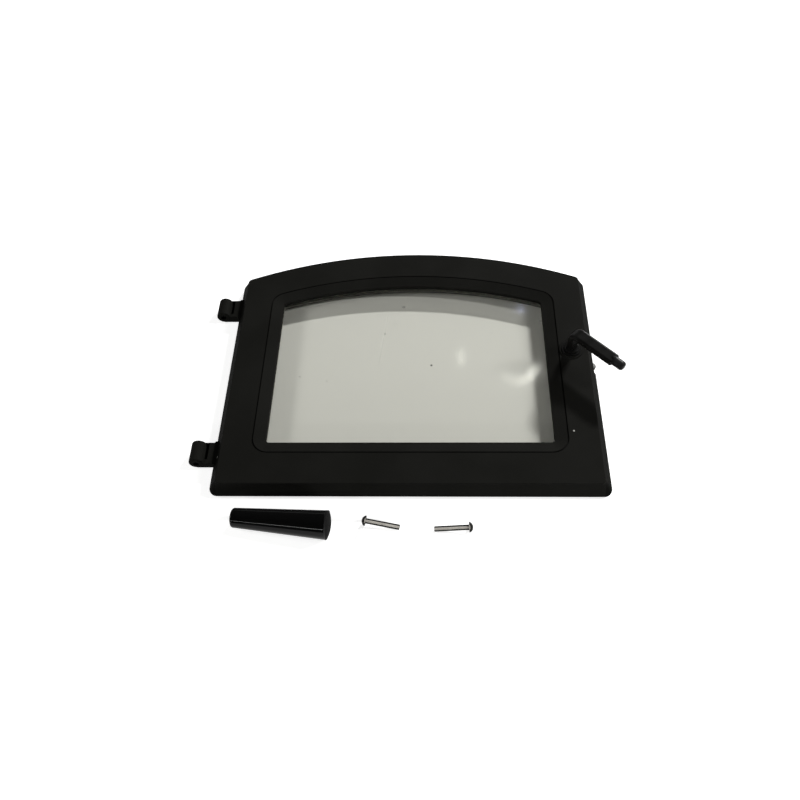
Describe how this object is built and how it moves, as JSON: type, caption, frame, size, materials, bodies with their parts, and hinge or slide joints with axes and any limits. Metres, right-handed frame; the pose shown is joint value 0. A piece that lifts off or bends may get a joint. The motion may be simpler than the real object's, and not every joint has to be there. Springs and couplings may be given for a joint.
{
  "type": "pellet stove door",
  "caption": "Arched cast-iron stove door with a glass window, hinge lugs and a turning latch lever, lying on its back with its handle grip and hinge pins taken off.",
  "frame": {"origin": "on the ground under the middle of the whole set: the door on its back with the grip and pins in front of it", "axes": "+X across the door towards the lever, +Y up the door towards the arch, +Z out of its front face"},
  "size_m": [0.4392, 0.3668, 0.0503],
  "materials": {
    "cast_iron_black": "matt black stove paint",
    "ceramic_glass": "clear",
    "fibre_tape": "black woven glass fibre",
    "fibre_rope": "black knitted glass fibre",
    "painted_steel": "matt black",
    "lever_black": "satin black, rubbed at the edges",
    "zinc_steel": "dull zinc plate",
    "pin_steel": "bright turned steel",
    "grip_black": "gloss black"
  },
  "bodies": {
    "door": {"door_frame": "cast_iron_black", "glass_pane": "ceramic_glass", "glass_tape": "fibre_tape", "glass_retainer": "painted_steel", "retainer_screws": "zinc_steel", "door_rope": "fibre_rope", "front_washer": "painted_steel", "spring_washer": "zinc_steel", "back_washer": "zinc_steel", "handle_grip": "grip_black", "hinge_pin_1": "pin_steel", "hinge_pin_2": "pin_steel"},
    "lever": {"handle_lever": "lever_black", "latch": "zinc_steel", "lock_washer": "zinc_steel", "latch_screw": "zinc_steel"}
  },
  "joints": [
    {"name": "lever_turn", "type": "hinge", "parent": "door", "child": "lever", "pos_m": [0.1727, 0.03543, 0.018], "axis": [0, 0, 1], "range_deg": [0, 60]}
  ]
}
